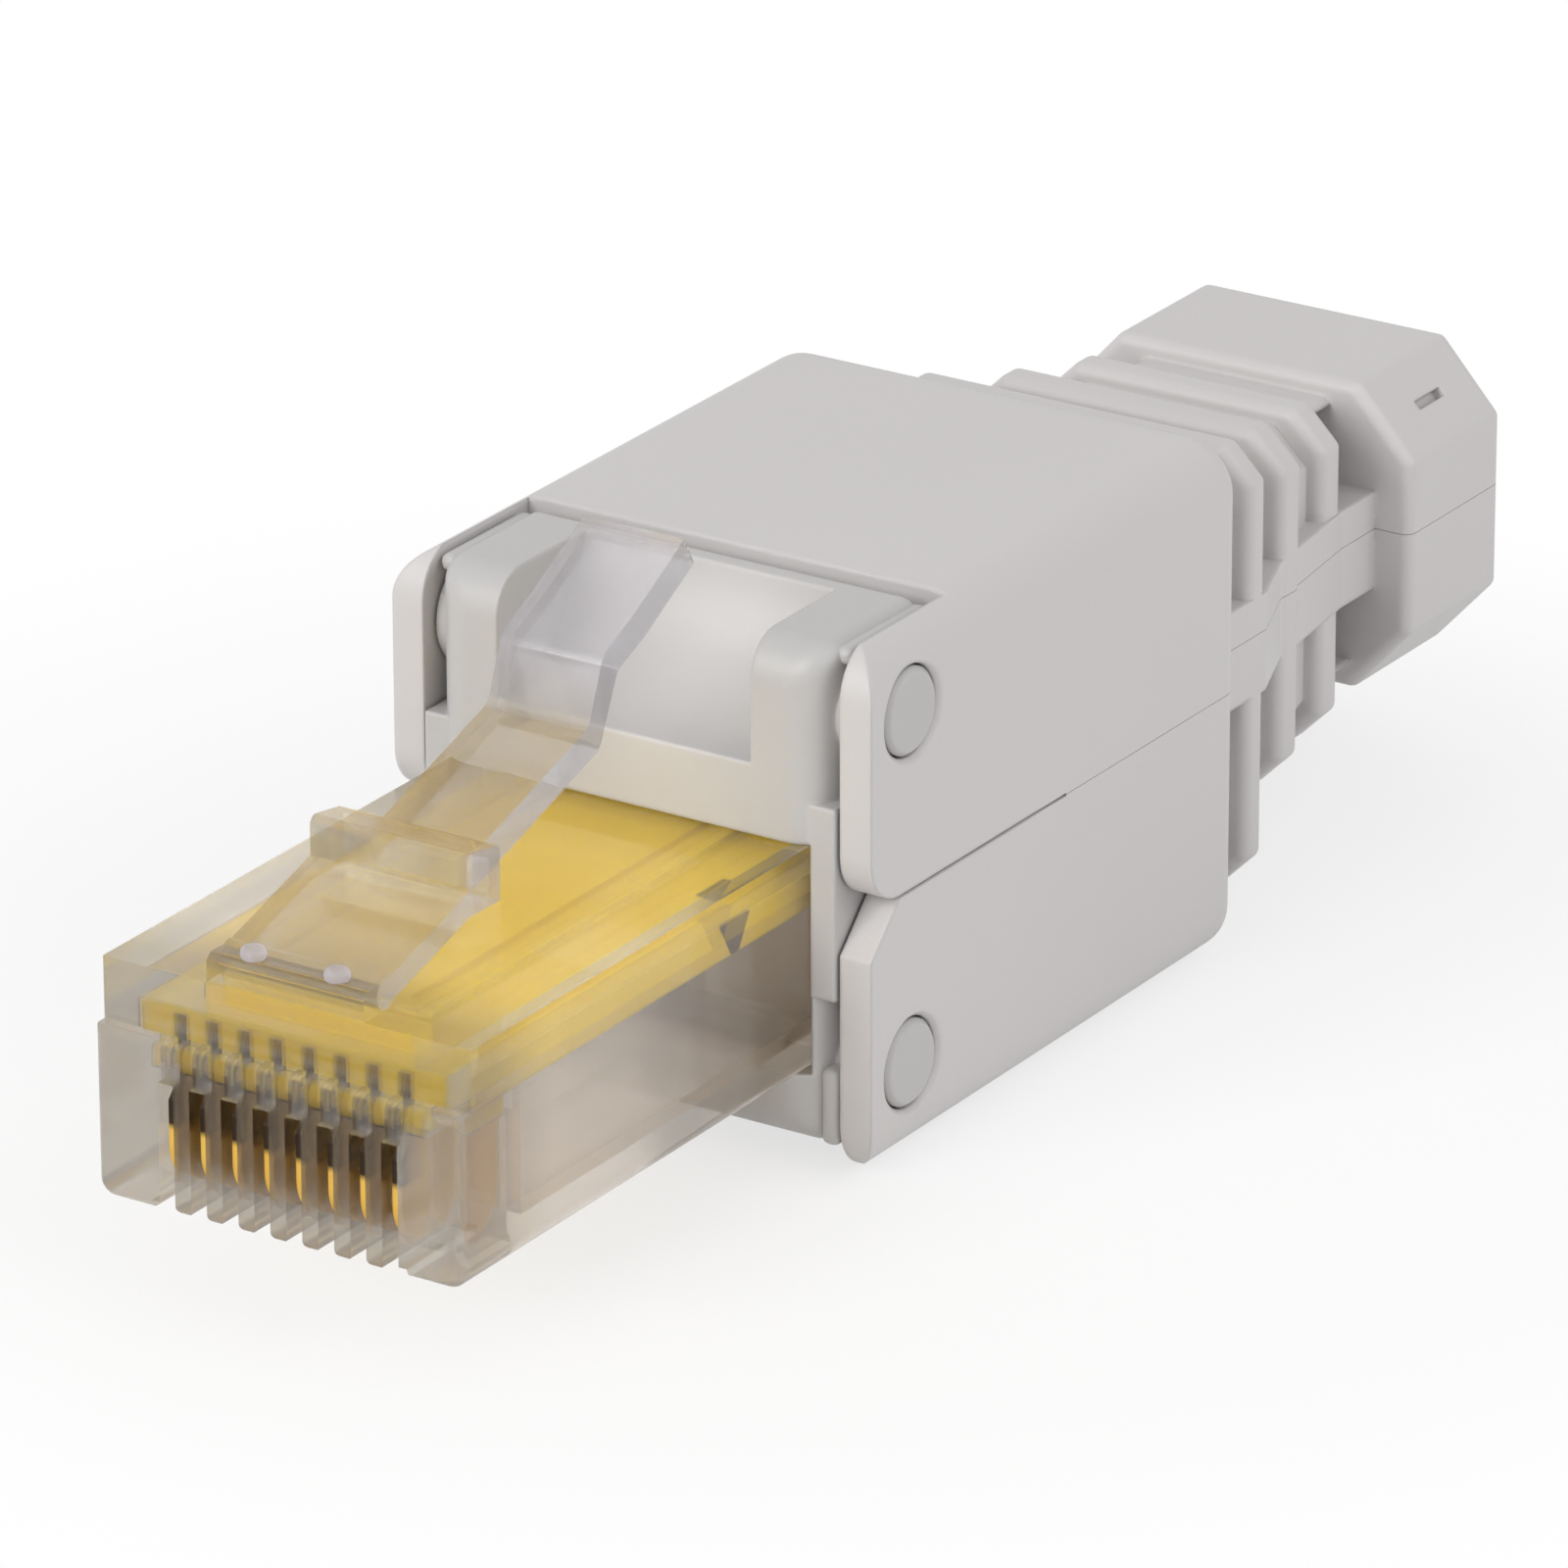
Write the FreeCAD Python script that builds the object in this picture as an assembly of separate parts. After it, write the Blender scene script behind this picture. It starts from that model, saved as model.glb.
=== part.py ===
"""Tool-less RJ45 plug: clear 8P8C nose, hinged two-part housing with a ribbed cable tail.

Millimetres. X is across the plug, +Y runs from the nose to the cable end, +Z is the latch side.
The model is laid out from the nose (Y = 0) and the underside of the clear plug (Z = 0), and moved
at export so that its origin is the middle of its box, on the underside of the lower cover.
"""
import FreeCAD, Part
import os
from math import atan2, cos, degrees, hypot, sin

# ---- clear plug that enters the jack
plug_width = 11.68
plug_height = 6.7
nose_height = 4.9
nose_step = 0.5
shell_length = 18.3
shell_side_wall = 0.94
shell_top_wall = 0.5
shell_floor = 0.9
shell_front_wall = 0.38
shell_edge = 0.5
comb_depth = 3.3
comb_opening_top = 3.7
comb_tooth_drop = 0.25

# ---- contacts
contact_count = 8
contact_pitch = 1.02
contact_thickness = 0.3
contact_slot_clearance = 0.1
contact_setback = 0.35
contact_length = 2.6
contact_rise = 0.55
contact_nose_radius = 1.2
contact_front_top = 3.1
contact_barb_height = 0.8
contact_barb_setback = 0.55
contact_barb_slope = 0.2
lead_height = 0.3
lead_on_board = 1.6

# ---- yellow contact carrier and circuit board
carrier_height = 1.55
carrier_shoulder_height = 1.0
carrier_ridge_half = 3.3
carrier_ridge_setback = 1.5
carrier_lip_drop = 0.7
carrier_lip_half = 4.3
carrier_clearance = 0.05
carrier_rib_width = 0.5
carrier_groove_depth = 0.2
carrier_groove_setback = 2.0
board_side_gap = 0.75
board_length = 9.3
board_thickness = 1.0
board_clearance = 0.05

# ---- insulation-displacement terminals, four above and four below the board
terminals_per_row = 4
terminal_width = 1.6
terminal_thickness = 0.4
terminal_height = 3.8
terminal_slit_width = 0.35
terminal_slit_depth = 2.2
terminal_tip_depth = 0.5
terminal_tip_offset = 0.56
terminal_pin_width = 0.5
terminal_pin_clearance = 0.1
terminal_stagger = 3.0
terminal_row_offset = 1.5
terminal_start = 3.6
terminal_slot_clearance = 0.12

# ---- terminal blocks on the board, and the wire guides in the covers
block_side_gap = 0.2
block_edge_distance = 1.25
block_length = 6.6
block_start = 2.2
block_height = 2.8
trough_width = 1.1
trough_depth = 1.4
anvil_width = 0.8
anvil_reach = 1.0
guide_gap = 0.4
guide_slot_clearance = 0.55

# ---- housing: two hinged covers round an inner frame
housing_width = 15.5
upper_cover_height = 7.4
lower_cover_height = 8.0
housing_front = 16.8
housing_rear = 36.1
housing_edge = 1.5
housing_front_edge = 1.5
housing_rear_edge = 0.7
housing_middle = 5.1
cover_wall = 1.0
cover_end_wall = 1.2
cover_lip_setback = 5.2
parting_gap = 0.1
closed_gap = 0.02
seam_length = 10.0
cover_corner_radius = 1.4
cover_corner_chamfer = 1.4
tongue_length = 2.2
tongue_width = 0.9
tongue_reach = 1.8
tongue_gap = 0.12

# ---- hinges of the covers
hinge_setback = 2.1
hinge_spread = 5.15
hinge_pin_radius = 1.25
hinge_pin_clearance = 0.08
hinge_pin_chamfer = 0.15
hinge_pad_radius = 1.6
hinge_pad_gap = 0.1
lip_clearance = 0.16

# ---- inner frame
frame_lead = 0.3
frame_length = 4.8
frame_side_gap = 0.4
frame_face_drop = 0.1
frame_corner = 0.5
frame_roof_depth = 1.6
frame_front_edge = 1.2
frame_window_clearance = 0.04
frame_passage_clearance = 0.05
frame_ear_setback = 0.2
frame_ear_height = 5.6
frame_ear_depth = 3.0
rail_depth = 1.0
rail_height = 3.4
rail_side_gap = 0.2
scoop_width = 8.2
scoop_radius = 4.3
scoop_floor = 8.8

# ---- latch lever
latch_width = 5.0
lever_width = 3.25
latch_hinge_setback = 1.55
latch_hinge_height = 0.45
latch_hinge_radius = 0.42
latch_hinge_clearance = 0.03
latch_thickness = 0.7
latch_root_bevel = 0.2
lever_thickness = 0.95
latch_shoulder_front = 5.3
latch_shoulder_rear = 6.85
latch_shoulder_top = 3.05
latch_shoulder_bottom = 1.2
lever_rise_y = 8.4
lever_rise_z = 2.75
lever_knee_y = 12.4
lever_knee_z = 4.0
lever_step_y = 13.1
lever_step_z = 5.8
lever_slope_y = 14.7
lever_slope_z = 6.55
lever_tip_y = 17.1
lever_tip_z = 7.85
lever_edge = 0.25
lever_bend_radius = 0.5

# ---- ribbed tail, half of it on each cover
bore_radius = 3.2
bore_mouth = 0.5
grip_rib_setback = 2.7
grip_rib_height = 0.3
grip_rib_width = 0.8
grip_rib_pitch = 2.4
grip_rib_count = 3
tail_edge = 0.35
collar_setback = 3.2
collar_length = 1.0
collar_width = 12.26
collar_rise = 5.65
collar_drop = 7.8
collar_corner = 1.0
rib_gap = 2.2
rib_length = 1.2
rib_count = 2
rib_pitch = 3.2
first_rib_width = 10.6
first_rib_rise = 4.9
first_rib_drop = 6.15
last_rib_width = 9.5
last_rib_rise = 4.4
last_rib_drop = 5.95
rib_corner = 1.1
rib_depth = 0.65
neck_length = 1.9
cap_length = 5.3
cap_width = 11.86
cap_rise = 4.3
cap_drop = 5.2
chamfer_across = 1.9
chamfer_up = 2.1
spine_height = 3.0
spine_drop = 0.35
window_height = 2.4
cap_slot_length = 1.4
cap_slot_width = 0.3

# ---- places that follow from the sizes above
frame_front = housing_front - frame_lead
frame_rear = frame_front + frame_length
housing_height = upper_cover_height + lower_cover_height
underside = housing_middle - lower_cover_height
housing_top = housing_middle + upper_cover_height
cover_inside_x = housing_width / 2 - cover_wall
cover_lip = housing_front + cover_lip_setback
hinge_y = housing_front + hinge_setback
upper_hinge_z = housing_middle + hinge_spread
lower_hinge_z = housing_middle - hinge_spread
board_width = 2 * (cover_inside_x - board_side_gap)
block_width = board_width - rail_depth - 2 * block_side_gap
terminal_pitch = (block_width - 2 * block_edge_distance) / (terminals_per_row - 1)
board_bottom = housing_middle - board_thickness / 2
board_top = housing_middle + board_thickness / 2
board_front = frame_rear + board_clearance
board_rear = board_front + board_length
cavity_half_width = plug_width / 2 - shell_side_wall
carrier_top = board_bottom + carrier_height
shoulder_top = board_bottom + carrier_shoulder_height
lip_bottom = board_bottom - carrier_lip_drop
carrier_front = nose_step + shell_front_wall + carrier_clearance
ridge_front = carrier_front + carrier_ridge_setback
guide_base = board_top + block_height + guide_gap
latch_hinge_z = plug_height + latch_hinge_height
spine_middle = housing_middle - spine_drop
collar_start = housing_rear + collar_setback
collar_rear = collar_start + collar_length
first_rib_start = collar_rear + rib_gap
last_rib_end = first_rib_start + (rib_count - 1) * rib_pitch + rib_length
cap_start = last_rib_end + neck_length
overall_length = cap_start + cap_length
origin_shift = FreeCAD.Vector(0, -overall_length / 2, -underside)


def box(x0, x1, y0, y1, z0, z1):
    """A block between two corners."""
    return Part.makeBox(x1 - x0, y1 - y0, z1 - z0, FreeCAD.Vector(x0, y0, z0))


def side_profile(points, x0, x1):
    """A (Y, Z) outline carried across from x0 to x1."""
    corners = [FreeCAD.Vector(x0, y, z) for y, z in points]
    face = Part.Face(Part.makePolygon(corners + corners[:1]))
    return face.extrude(FreeCAD.Vector(x1 - x0, 0, 0))


def front_profile(points, y0, y1):
    """An (X, Z) outline carried back from y0 to y1."""
    corners = [FreeCAD.Vector(x, y0, z) for x, z in points]
    face = Part.Face(Part.makePolygon(corners + corners[:1]))
    return face.extrude(FreeCAD.Vector(0, y1 - y0, 0))


def rod_across(radius, x0, x1, y, z):
    """A round rod along X."""
    return Part.makeCylinder(radius, x1 - x0, FreeCAD.Vector(x0, y, z), FreeCAD.Vector(1, 0, 0))


def rod_along(radius, y0, y1, z):
    """A round rod along Y, on the middle of the plug."""
    return Part.makeCylinder(radius, y1 - y0, FreeCAD.Vector(0, y0, z), FreeCAD.Vector(0, 1, 0))


def rounded(shape, radius, chosen):
    """The shape with a fillet on each edge whose box passes the test."""
    edges = [edge for edge in shape.Edges if chosen(edge.BoundBox)]
    return shape.makeFillet(radius, edges)


def bevelled(shape, size, chosen):
    """The shape with a chamfer on each edge whose box passes the test."""
    edges = [edge for edge in shape.Edges if chosen(edge.BoundBox)]
    return shape.makeChamfer(size, edges)


def flat_in(low, high, value):
    """True where an edge's box is closed up on one value."""
    return abs(low - value) < 1e-4 and abs(high - value) < 1e-4


def upside_down(shape):
    """The shape mirrored in the parting plane of the two covers."""
    return shape.mirror(FreeCAD.Vector(0, 0, housing_middle), FreeCAD.Vector(0, 0, 1))


def both_sides(shape):
    """The shape and its mirror image across the plug."""
    return shape.fuse(shape.mirror(FreeCAD.Vector(0, 0, 0), FreeCAD.Vector(1, 0, 0)))


def contact_x(number):
    """Where contact 1 to 8 stands across the plug."""
    return (number - (contact_count + 1) / 2) * contact_pitch


def terminal_places():
    """X and Y of the four terminals above the board, staggered so that wires can pass."""
    first = -(terminals_per_row - 1) / 2 * terminal_pitch
    start = board_front + terminal_start
    return [(first + i * terminal_pitch, start + (i % 2) * terminal_stagger)
            for i in range(terminals_per_row)]


# ---- clear shell
def shell_body():
    """Outside of the clear plug: stepped nose, rounded long edges."""
    outline = [(0, 0), (0, nose_height), (nose_step, nose_height), (nose_step, plug_height),
               (shell_length, plug_height), (shell_length, 0)]
    body = side_profile(outline, -plug_width / 2, plug_width / 2)
    body = rounded(body, shell_edge, lambda b: b.YLength > shell_length / 2 and b.ZMax < nose_height)
    return rounded(body, shell_edge / 2, lambda b: b.XLength > plug_width * 0.8 and b.YMax < 0.01)


def shell_cavity():
    """The hollow behind the comb, and the space over it where the carrier's nose lies."""
    half = cavity_half_width
    front = nose_step + shell_front_wall
    rear = shell_length + 1
    gap = carrier_clearance
    ridge = carrier_ridge_half + gap
    lip = carrier_lip_half + gap
    over = box(-half, half, front, rear, board_bottom, shoulder_top + gap)
    above = box(-ridge, ridge, ridge_front - gap, rear, board_bottom, plug_height - shell_top_wall)
    ahead = box(-lip, lip, front, comb_depth, lip_bottom - gap, board_bottom)
    behind = box(-half, half, comb_depth, rear, shell_floor, board_bottom)
    return over.fuse([above, ahead, behind])


def comb_slots():
    """Eight slots, open to the front and below, with a rounded tooth between two of them."""
    half = contact_thickness / 2 + contact_slot_clearance
    cuts = []
    for number in range(1, contact_count + 1):
        x = contact_x(number)
        cuts.append(box(x - half, x + half, -1, comb_depth, -1, comb_opening_top))
        cuts.append(box(x - half, x + half, contact_setback, comb_depth, 0, board_bottom))
    return cuts


def comb_relief():
    """The shallow step under the comb, so that only the teeth reach the underside."""
    edge = contact_x(contact_count) + contact_pitch / 2
    step = box(-edge, edge, -1, comb_depth, -1, comb_tooth_drop)
    radius = (contact_pitch - contact_thickness) / 2 - contact_slot_clearance
    for number in range(1, contact_count):
        x = contact_x(number) + contact_pitch / 2
        tooth = rod_along(radius, 0, comb_depth, comb_tooth_drop)
        tooth.translate(FreeCAD.Vector(x, 0, 0))
        step = step.cut(tooth)
    return step


def latch_root():
    """The pad on the nose that carries the latch, with the groove of its hinge."""
    half = latch_width / 2
    low = plug_height - shell_top_wall / 2
    top = latch_hinge_z + latch_thickness / 2
    pad = side_profile([(nose_step, low), (nose_step, top - latch_root_bevel),
                        (nose_step + latch_root_bevel, top),
                        (latch_hinge_setback, top), (latch_hinge_setback, low)], -half, half)
    groove = rod_across(latch_hinge_radius + latch_hinge_clearance, -half - 1, half + 1,
                        latch_hinge_setback, latch_hinge_z)
    return pad, groove


def front_shell():
    """The clear moulding that enters the jack."""
    pad, groove = latch_root()
    shell = shell_body().fuse(pad).cut(groove)
    return shell.cut([shell_cavity(), comb_relief()] + comb_slots()).removeSplitter()


# ---- latch
def lever_outline():
    """The side view of the lever: top path from the shoulder to the tip, and back below it."""
    base = plug_height
    drop = lever_thickness
    top = [(latch_shoulder_rear - drop / 2, base + latch_shoulder_bottom + drop),
           (lever_rise_y, base + lever_rise_z), (lever_knee_y, base + lever_knee_z),
           (lever_step_y, base + lever_step_z), (lever_slope_y, base + lever_slope_z),
           (lever_tip_y, base + lever_tip_z)]
    below = []
    for index in range(len(top)):
        before = top[max(index - 1, 0)]
        after = top[min(index + 1, len(top) - 1)]
        turn = atan2(after[1] - before[1], after[0] - before[0])
        here = top[index]
        below.append((here[0] + drop * sin(turn), here[1] - drop * cos(turn)))
    return top + below[::-1]


def latch_spring_outline():
    """The wide spring plate from the hinge to the shoulder."""
    rise = plug_height + latch_shoulder_bottom
    turn = atan2(rise - latch_hinge_z, latch_shoulder_front - latch_hinge_setback)
    lean_y = latch_thickness / 2 * sin(turn)
    lean_z = latch_thickness / 2 * cos(turn)
    middle = rise + latch_thickness / 2
    return [(latch_hinge_setback - lean_y, latch_hinge_z + lean_z),
            (latch_shoulder_front - lean_y, middle + lean_z),
            (latch_shoulder_front + lever_thickness, middle + lean_z),
            (latch_shoulder_front + lever_thickness, rise),
            (latch_shoulder_front + lean_y, rise),
            (latch_hinge_setback + lean_y, latch_hinge_z - lean_z)]


def latch_shoulder():
    """The raised bar whose back face locks behind the jack's keepers."""
    base = plug_height
    outline = [(latch_shoulder_front, base + latch_shoulder_bottom),
               (latch_shoulder_front, base + latch_shoulder_top),
               (latch_shoulder_rear, base + latch_shoulder_top - lever_edge),
               (latch_shoulder_rear, base + latch_shoulder_bottom)]
    bar = side_profile(outline, -latch_width / 2, latch_width / 2)
    above = base + (latch_shoulder_bottom + latch_shoulder_top) / 2
    return rounded(bar, lever_edge, lambda b: b.XLength > latch_width / 2 and b.ZMin > above)


def latch():
    """Spring plate, locking shoulder and finger lever, one clear moulding."""
    half = latch_width / 2
    knuckle = rod_across(latch_hinge_radius, -half, half, latch_hinge_setback, latch_hinge_z)
    plate = side_profile(latch_spring_outline(), -half, half)
    lever = side_profile(lever_outline(), -lever_width / 2, lever_width / 2)
    lever = rounded(lever, lever_bend_radius, lambda b: b.XLength > lever_width / 2
                    and latch_shoulder_rear < b.YMin < lever_tip_y - 1)
    return knuckle.fuse([plate, latch_shoulder(), lever]).removeSplitter()


# ---- contacts, carrier and board
def contact(number):
    """A gold-plated blade with its barb in the carrier and its lead back to the board."""
    x = contact_x(number)
    front = contact_setback
    rear = front + contact_length
    lead_bottom = board_bottom - lead_height
    barb_top = board_bottom + contact_barb_height
    outline = [(front, contact_rise), (front, contact_front_top),
               (front + contact_barb_setback, comb_opening_top),
               (front + contact_barb_setback, board_bottom),
               (carrier_front + contact_barb_slope, barb_top), (rear, barb_top), (rear, board_bottom),
               (board_front + lead_on_board, board_bottom),
               (board_front + lead_on_board, lead_bottom), (rear, lead_bottom),
               (rear, contact_rise)]
    blade = side_profile(outline, x - contact_thickness / 2, x + contact_thickness / 2)
    return rounded(blade, contact_nose_radius,
                   lambda b: b.XLength > contact_thickness * 0.9 and b.ZMax < contact_rise + 0.01)


def contact_carrier():
    """The yellow moulding that holds the contacts, with a shallow groove along its top."""
    half = cavity_half_width - carrier_clearance
    body = box(-half, half, carrier_front, frame_rear, board_bottom, shoulder_top)
    ridge = box(-carrier_ridge_half, carrier_ridge_half, ridge_front, frame_rear,
                board_bottom, carrier_top)
    lip = box(-carrier_lip_half, carrier_lip_half, carrier_front, contact_setback + contact_length,
              lip_bottom, board_bottom)
    body = body.fuse([ridge, lip])
    groove_x = carrier_ridge_half - 2 * carrier_rib_width
    groove = box(groove_x, groove_x + carrier_rib_width / 2, carrier_front + carrier_groove_setback,
                 frame_rear + 1, carrier_top - carrier_groove_depth, carrier_top + 1)
    body = body.cut(both_sides(groove))
    barb = contact_thickness / 2 + carrier_clearance
    slots = []
    for number in range(1, contact_count + 1):
        x = contact_x(number)
        slots.append(box(x - barb, x + barb, 0, contact_setback + contact_length + carrier_clearance,
                         0, board_bottom + contact_barb_height + carrier_clearance))
    return body.cut(slots)


def circuit_board():
    """The board between the carrier and the terminals, with a hole for each terminal's pin."""
    board = box(-board_width / 2, board_width / 2, board_front, board_rear, board_bottom, board_top)
    half_x = terminal_pin_width / 2 + terminal_pin_clearance
    half_y = terminal_thickness / 2 + terminal_pin_clearance
    holes = []
    for row in (0, terminal_row_offset):
        for x, y in terminal_places():
            holes.append(box(x - half_x, x + half_x, y + row - half_y, y + row + half_y,
                             board_bottom - 1, board_top + 1))
    return board.cut(holes)


def upper_terminal(x, y):
    """A forked terminal above the board: its slit cuts the insulation and grips the wire."""
    half = terminal_width / 2
    slit = terminal_slit_width / 2
    pin = terminal_pin_width / 2
    tip = board_top + terminal_height
    mouth = tip - terminal_tip_depth
    outline = [(x - pin, board_bottom), (x - pin, board_top), (x - half, board_top),
               (x - half, mouth), (x - terminal_tip_offset, tip), (x - slit, mouth),
               (x - slit, tip - terminal_slit_depth), (x + slit, tip - terminal_slit_depth),
               (x + slit, mouth), (x + terminal_tip_offset, tip), (x + half, mouth), (x + half, board_top),
               (x + pin, board_top), (x + pin, board_bottom)]
    return front_profile(outline, y - terminal_thickness / 2, y + terminal_thickness / 2)


def lower_terminal(x, y):
    """The same fork below the board, one row further back."""
    return upside_down(upper_terminal(x, y + terminal_row_offset))


def upper_terminal_block(row=0.0):
    """The insulating block round four terminals, with a trough for each wire."""
    front = board_front + block_start
    top = board_top + block_height
    block = box(-block_width / 2, block_width / 2, front, front + block_length, board_top, top)
    half_x = terminal_width / 2 + terminal_slot_clearance
    half_y = terminal_thickness / 2 + terminal_slot_clearance
    cuts = []
    for x, y in terminal_places():
        cuts.append(box(x - half_x, x + half_x, y + row - half_y, y + row + half_y,
                        board_top - 1, top + 1))
        cuts.append(box(x - trough_width / 2, x + trough_width / 2, front - 1,
                        front + block_length + 1, top - trough_depth, top + 1))
    return block.cut(cuts)


def upper_wire_guide(row=0.0, cover_height=upper_cover_height):
    """The insert in a cover that presses four wires into their terminals."""
    front = board_front + block_start
    rear = front + block_length
    block_top = board_top + block_height
    guide_top = housing_middle + cover_height - cover_wall
    guide = box(-block_width / 2, block_width / 2, front, rear, guide_base, guide_top)
    for x, _ in terminal_places():
        anvil = box(x - anvil_width / 2, x + anvil_width / 2, front, rear,
                    block_top - anvil_reach, guide_base)
        guide = guide.fuse(anvil)
    half_x = terminal_width / 2 + guide_slot_clearance / 2
    half_y = terminal_thickness / 2 + guide_slot_clearance
    tip = board_top + terminal_height
    for x, y in terminal_places():
        guide = guide.cut(box(x - half_x, x + half_x, y + row - half_y, y + row + half_y,
                              0, tip + guide_slot_clearance))
    return guide.removeSplitter()


# ---- inner frame
def frame_block():
    """The block behind the clear plug, rounded like the housing."""
    half = cover_inside_x - frame_side_gap
    reach = upper_cover_height - frame_face_drop
    block = box(-half, half, frame_front, frame_rear, housing_middle - reach, housing_middle + reach)
    block = rounded(block, frame_corner, lambda b: b.YLength > frame_corner)
    return rounded(block, frame_front_edge, lambda b: flat_in(b.YMin, b.YMax, frame_front))


def frame_roof():
    """The block's top carried back to meet the cover's lip."""
    half = cover_inside_x - frame_side_gap - frame_corner
    high = housing_middle + upper_cover_height - frame_face_drop
    return box(-half, half, frame_rear - 1, cover_lip - lip_clearance, high - frame_roof_depth, high)


def hinge_pin(z):
    """A pad and a bevelled pin on one side of the frame."""
    pad_x = cover_inside_x - hinge_pad_gap
    half = cover_inside_x - frame_side_gap
    pad = rod_across(hinge_pad_radius, half - 1, pad_x, hinge_y, z)
    pin = rod_across(hinge_pin_radius, half - 1, housing_width / 2, hinge_y, z)
    pin = bevelled(pin, hinge_pin_chamfer, lambda b: flat_in(b.XMin, b.XMax, housing_width / 2))
    return pad.fuse(pin)


def lip_sweep(z, side, cover_height):
    """What a cover's front lip needs clear as it turns about its hinge."""
    lip_radius = hypot(cover_lip - hinge_y, cover_height - cover_wall - hinge_spread)
    reach = lip_radius - lip_clearance
    far = housing_height
    low, high = sorted((z, z + side * far))
    corner = box(-far, far, hinge_y, hinge_y + far, low, high)
    return corner.cut(rod_across(reach, -far - 1, far + 1, hinge_y, z))


def board_rails():
    """The two rails behind the block that hold the board by its edges."""
    outer = cover_inside_x - rail_side_gap
    inner = board_width / 2 - rail_depth / 2
    half = rail_height / 2
    rail = box(inner, outer, frame_rear - 1, board_rear, housing_middle - half, housing_middle + half)
    gap = board_clearance
    slot = box(0, board_width / 2 + gap, frame_rear, board_rear + 1,
               board_bottom - gap, board_top + gap)
    return both_sides(rail.cut(slot))


def scoop():
    """The hollow in the top of the frame that the lever moves in."""
    centre_z = scoop_floor + scoop_radius
    return rod_across(scoop_radius, -scoop_width / 2, scoop_width / 2, frame_front, centre_z)


def frame():
    """The inner frame: block, ears, hinge pins and board rails."""
    ear_x = cover_inside_x - hinge_pad_gap
    ear = box(-ear_x, ear_x, frame_front + frame_ear_setback, frame_front + frame_ear_depth,
              housing_middle - frame_ear_height / 2, housing_middle + frame_ear_height / 2)
    body = frame_block().fuse([ear, frame_roof(), upside_down(frame_roof())])
    sweeps = [lip_sweep(upper_hinge_z, 1, upper_cover_height),
              lip_sweep(lower_hinge_z, -1, lower_cover_height)]
    body = body.cut(sweeps + [scoop()])
    pins = [both_sides(hinge_pin(upper_hinge_z)), both_sides(hinge_pin(lower_hinge_z))]
    body = body.fuse(pins + [board_rails()])
    clear = frame_window_clearance
    window = box(-plug_width / 2 - clear, plug_width / 2 + clear, frame_front - 1,
                 shell_length + clear, -clear, plug_height + clear)
    gap = frame_passage_clearance
    passage = box(-cavity_half_width, cavity_half_width, frame_front, frame_rear + 1,
                  board_bottom - lead_height - gap, carrier_top + gap)
    return body.cut([window, passage]).removeSplitter()


# ---- covers with their halves of the tail
def octagon(width, rise, drop, y, across, up):
    """An eight-sided outline that reaches above and below the parting plane, as a closed wire."""
    half = width / 2
    high = housing_middle + rise
    low = housing_middle - drop
    right = [(half - across, high), (half, high - up), (half, low + up), (half - across, low)]
    points = right + [(-x, z) for x, z in right[::-1]]
    places = [FreeCAD.Vector(x, y, z) for x, z in points]
    return Part.makePolygon(places + places[:1])


def octagon_bar(width, rise, drop, y0, y1, across, up):
    """An eight-sided length of tail."""
    face = Part.Face(octagon(width, rise, drop, y0, across, up))
    return face.extrude(FreeCAD.Vector(0, y1 - y0, 0))


def tail_ring(width, rise, drop, y0, y1, across, up):
    """An eight-sided length of tail with all its edges rounded."""
    bar = octagon_bar(width, rise, drop, y0, y1, across, up)
    return bar.makeFillet(tail_edge, bar.Edges)


def tail_ribs():
    """The ribs between the collar and the cap, each a little smaller than the one before."""
    ribs = []
    for index in range(rib_count):
        share = index / max(rib_count - 1, 1)
        width = first_rib_width + share * (last_rib_width - first_rib_width)
        rise = first_rib_rise + share * (last_rib_rise - first_rib_rise)
        drop = first_rib_drop + share * (last_rib_drop - first_rib_drop)
        start = first_rib_start + index * rib_pitch
        ribs.append(tail_ring(width, rise, drop, start, start + rib_length, rib_corner, rib_corner))
    return ribs


def tail_core():
    """The tapered wall that the collar and ribs stand on, and the straight neck behind it."""
    less = 2 * rib_depth
    sizes = (last_rib_width - less, last_rib_rise - rib_depth, last_rib_drop - rib_depth)
    start = octagon(collar_width - less, collar_rise - rib_depth, collar_drop - rib_depth,
                    housing_rear - tail_edge, collar_corner, collar_corner)
    end = octagon(*sizes, last_rib_end, rib_corner, rib_corner)
    taper = Part.makeLoft([start, end], True, True)
    neck = octagon_bar(*sizes, last_rib_end, cap_start + tail_edge, rib_corner, rib_corner)
    return taper.fuse(neck)


def tail_spine():
    """The smooth band on each side that ties collar, ribs and cap together."""
    wide = collar_width / 2
    middle = first_rib_width / 2
    narrow = last_rib_width / 2
    low = spine_middle - spine_height / 2
    outline = [(0, housing_rear), (wide, housing_rear), (wide, collar_rear), (middle, first_rib_start),
               (narrow, last_rib_end), (narrow, cap_start + tail_edge), (0, cap_start + tail_edge)]
    corners = [FreeCAD.Vector(x, y, low) for x, y in outline]
    face = Part.Face(Part.makePolygon(corners + corners[:1]))
    return both_sides(face.extrude(FreeCAD.Vector(0, 0, spine_height)))


def tail_windows():
    """The slots through the neck on both sides, above and below the spine, for a cable tie."""
    high = spine_middle + spine_height / 2
    low = spine_middle - spine_height / 2
    upper = box(bore_radius / 2, housing_width, last_rib_end, cap_start, high, high + window_height)
    lower = box(bore_radius / 2, housing_width, last_rib_end, cap_start, low - window_height, low)
    return both_sides(upper.fuse(lower))


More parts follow.
